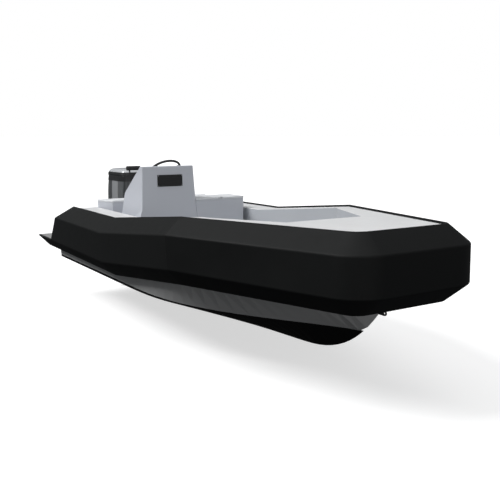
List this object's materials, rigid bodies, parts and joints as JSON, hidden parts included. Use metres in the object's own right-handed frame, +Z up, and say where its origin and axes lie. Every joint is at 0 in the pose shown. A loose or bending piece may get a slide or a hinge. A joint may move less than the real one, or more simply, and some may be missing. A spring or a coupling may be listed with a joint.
{
  "type": "rigid inflatable boat",
  "caption": "Open rigid inflatable boat with a faceted black foam collar, V hull, recessed cockpit, offset console, lockers and a steered, tilting outboard motor.",
  "frame": {"origin": "on the centreline, at the hull's stern face and at the height of the light waterline", "axes": "+X to the bow, +Y to port, +Z up"},
  "size_m": [5.5678, 2.2908, 1.7377],
  "materials": {
    "bottom_paint": "satin bottom paint",
    "hull_grey": "satin grey paint on plate",
    "gelcoat_white": "white gelcoat",
    "sole_grey": "non-slip foam sheet",
    "collar_black": "matt black collar skin over foam",
    "pad_grey": "non-slip foam sheet",
    "stainless_dark": "black coated steel",
    "stainless": "stainless steel",
    "console_grey": "semi-gloss light grey paint",
    "panel_black": "textured black plastic",
    "lid_white": "semi-gloss off-white paint",
    "black_plastic": "moulded black plastic",
    "wheel_grip": "moulded soft grip",
    "motor_bracket": "dark grey powder coat",
    "motor_dark": "dark grey enamel",
    "motor_cowl": "painted moulded cowl",
    "motor_cap": "light grey moulded cap",
    "engine_block": "cast block",
    "prop_metal": "black enamelled aluminium"
  },
  "bodies": {
    "hull": {"hull_bottom": "bottom_paint", "hull_topsides": "hull_grey", "deck_moulding": "gelcoat_white", "cockpit_sole": "sole_grey", "collar_starboard": "collar_black", "collar_port": "collar_black", "collar_bow": "collar_black", "stern_platform_starboard": "collar_black", "stern_platform_port": "collar_black", "platform_pad_starboard": "pad_grey", "platform_pad_port": "pad_grey", "transom_board": "gelcoat_white", "bow_eye": "stainless_dark", "stern_eyes": "stainless", "console_body": "console_grey", "console_foot": "console_grey", "dash_panel": "panel_black", "console_vent": "panel_black", "seat_locker": "console_grey", "aft_bench": "console_grey", "helm_column": "black_plastic", "throttle_box": "black_plastic", "throttle_lever": "black_plastic", "clamp_brackets": "motor_bracket"},
    "swivel": {"swivel_bracket": "motor_bracket"},
    "motor": {"steering_yokes": "motor_bracket", "midsection": "motor_dark", "anti_ventilation_plate": "motor_dark", "gearcase": "motor_dark", "cowl_tray": "motor_dark", "powerhead": "engine_block", "cowl": "motor_cowl", "cowl_cap": "motor_cap", "prop_shaft": "stainless"},
    "propeller": {"propeller": "prop_metal"},
    "steering_wheel": {"wheel_hub": "black_plastic", "wheel_rim": "wheel_grip"},
    "seat_locker_lid": {"seat_locker_lid": "lid_white"},
    "aft_bench_lid": {"aft_bench_lid": "lid_white"}
  },
  "joints": [
    {"name": "motor_tilt", "type": "hinge", "parent": "hull", "child": "swivel", "pos_m": [0.278, 0, 0.52], "axis": [0, 1, 0], "range_deg": [0, 66]},
    {"name": "motor_steer", "type": "hinge", "parent": "swivel", "child": "motor", "pos_m": [0.188, 0, 0.35], "axis": [0, 0, 1], "range_deg": [-30, 30]},
    {"name": "propeller_spin", "type": "hinge", "parent": "motor", "child": "propeller", "pos_m": [-0.12, 0, -0.305], "axis": [1, 0, 0], "continuous": true},
    {"name": "wheel_turn", "type": "hinge", "parent": "hull", "child": "steering_wheel", "pos_m": [1.58577, -0.137, 1.20095], "axis": [-0.5976, 0, 0.8018], "range_deg": [-630, 630]},
    {"name": "seat_locker_lid_hinge", "type": "hinge", "parent": "hull", "child": "seat_locker_lid", "pos_m": [1.608, 0.373, 0.874], "axis": [0, -1, 0], "range_deg": [0, 95]},
    {"name": "aft_bench_lid_hinge", "type": "hinge", "parent": "hull", "child": "aft_bench_lid", "pos_m": [0.944, 0, 0.827], "axis": [0, -1, 0], "range_deg": [0, 95]}
  ],
  "couplings": [
    {"joint": "wheel_turn", "follows": "motor_steer", "ratio": -21}
  ]
}
